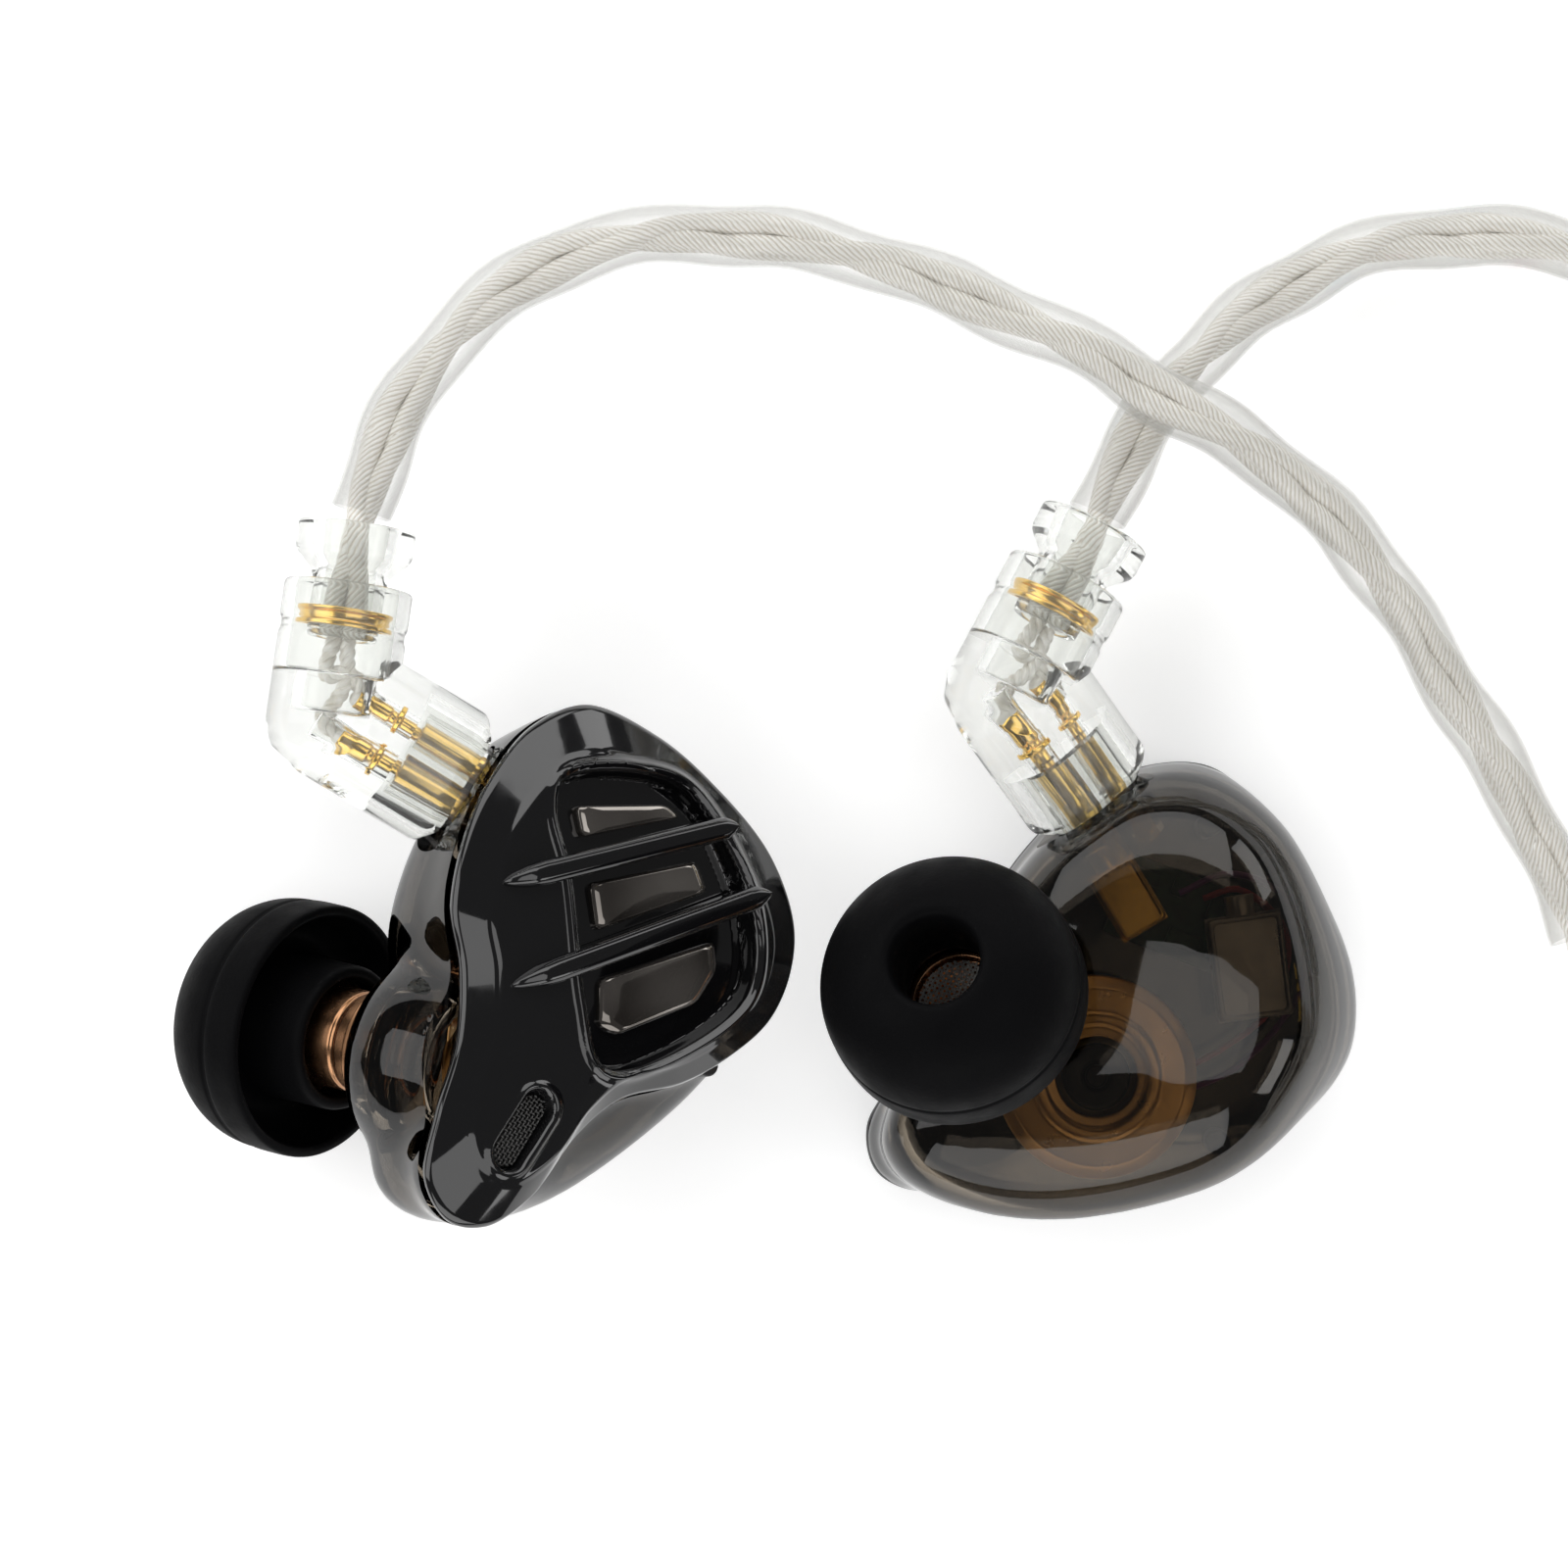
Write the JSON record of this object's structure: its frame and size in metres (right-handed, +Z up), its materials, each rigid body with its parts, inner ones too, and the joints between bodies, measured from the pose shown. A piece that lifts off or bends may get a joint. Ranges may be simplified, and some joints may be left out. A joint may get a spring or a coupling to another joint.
{
  "type": "in-ear monitors",
  "caption": "Pair of in-ear monitors with glossy black faceplates, smoky clear shells, silicone tips and a detachable braided cable with clear elbow connectors, stored in a coil.",
  "frame": {"origin": "middle of the two earpieces and their connectors, on the table they lie on", "axes": "+X from the left earpiece to the right one, +Y towards the cable's arcs, +Z up from the table"},
  "size_m": [0.1252, 0.0812, 0.0219],
  "materials": {
    "gloss_black": "glossy black resin faceplate",
    "window_black": "glossy brown-black window panes",
    "smoke": "smoky transparent resin",
    "bronze": "bronze-coloured turned metal",
    "steel_mesh": "fine woven mesh",
    "steel": "drawn steel can",
    "gold": "gold plating",
    "silicone": "matte black silicone",
    "clear": "clear moulded plastic",
    "copper": "copper-coloured driver cup",
    "dark_metal": "dark satin metal",
    "film": "diaphragm film",
    "board": "circuit board",
    "sleeve": "clear shrink sleeve over the braid",
    "silver_braid": "clear-jacketed silver-plated braid",
    "black_plastic": "satin black plastic"
  },
  "bodies": {
    "cable": {"left_connector_housing": "clear", "left_connector_pin_a": "gold", "left_connector_pin_b": "gold", "left_connector_ferrule": "gold", "left_cable_collar": "clear", "right_connector_housing": "clear", "right_connector_pin_a": "gold", "right_connector_pin_b": "gold", "right_connector_ferrule": "gold", "right_cable_collar": "clear", "left_ear_hook": "sleeve", "right_ear_hook": "sleeve", "left_cable_lead": "silver_braid", "right_cable_lead": "silver_braid", "branch_coil": "silver_braid", "left_cable_tail": "silver_braid", "right_cable_tail": "silver_braid", "splitter": "black_plastic", "main_cable_lead": "silver_braid", "main_coil": "silver_braid", "main_cable_tail": "silver_braid", "plug_relief": "black_plastic", "plug_barrel": "dark_metal", "plug_sleeve": "gold", "plug_ring": "gold", "plug_tip": "gold", "plug_insulator": "black_plastic", "cable_tie": "black_plastic"},
    "left_earpiece": {"left_faceplate": "gloss_black", "left_face_window": "window_black", "left_vent_mesh": "steel_mesh", "left_shell": "smoke", "left_nozzle": "bronze", "left_nozzle_screen": "steel_mesh", "left_driver_cup": "copper", "left_driver_magnet": "dark_metal", "left_driver_diaphragm": "film", "left_armature_bass": "steel", "left_armature_treble": "gold", "left_crossover_board": "board", "left_socket_boss": "clear", "left_socket_contact_a": "gold", "left_socket_contact_b": "gold"},
    "left_tip": {"left_ear_tip": "silicone"},
    "right_earpiece": {"right_faceplate": "gloss_black", "right_face_window": "window_black", "right_vent_mesh": "steel_mesh", "right_shell": "smoke", "right_nozzle": "bronze", "right_nozzle_screen": "steel_mesh", "right_driver_cup": "copper", "right_driver_magnet": "dark_metal", "right_driver_diaphragm": "film", "right_armature_bass": "steel", "right_armature_treble": "gold", "right_crossover_board": "board", "right_socket_boss": "clear", "right_socket_contact_a": "gold", "right_socket_contact_b": "gold"},
    "right_tip": {"right_ear_tip": "silicone"}
  },
  "joints": [
    {"name": "left_unplug", "type": "slide", "parent": "cable", "child": "left_earpiece", "axis": [0.8472, -0.5108, -0.1458], "range_m": [0, 0.0056]},
    {"name": "right_unplug", "type": "slide", "parent": "cable", "child": "right_earpiece", "axis": [0.5635, -0.7721, -0.2937], "range_m": [0, 0.0056]},
    {"name": "left_tip_pull", "type": "slide", "parent": "left_earpiece", "child": "left_tip", "axis": [-0.7823, 0.1529, -0.6038], "range_m": [0, 0.007]},
    {"name": "right_tip_pull", "type": "slide", "parent": "right_earpiece", "child": "right_tip", "axis": [-0.2197, 0.337, 0.9155], "range_m": [0, 0.007]}
  ]
}
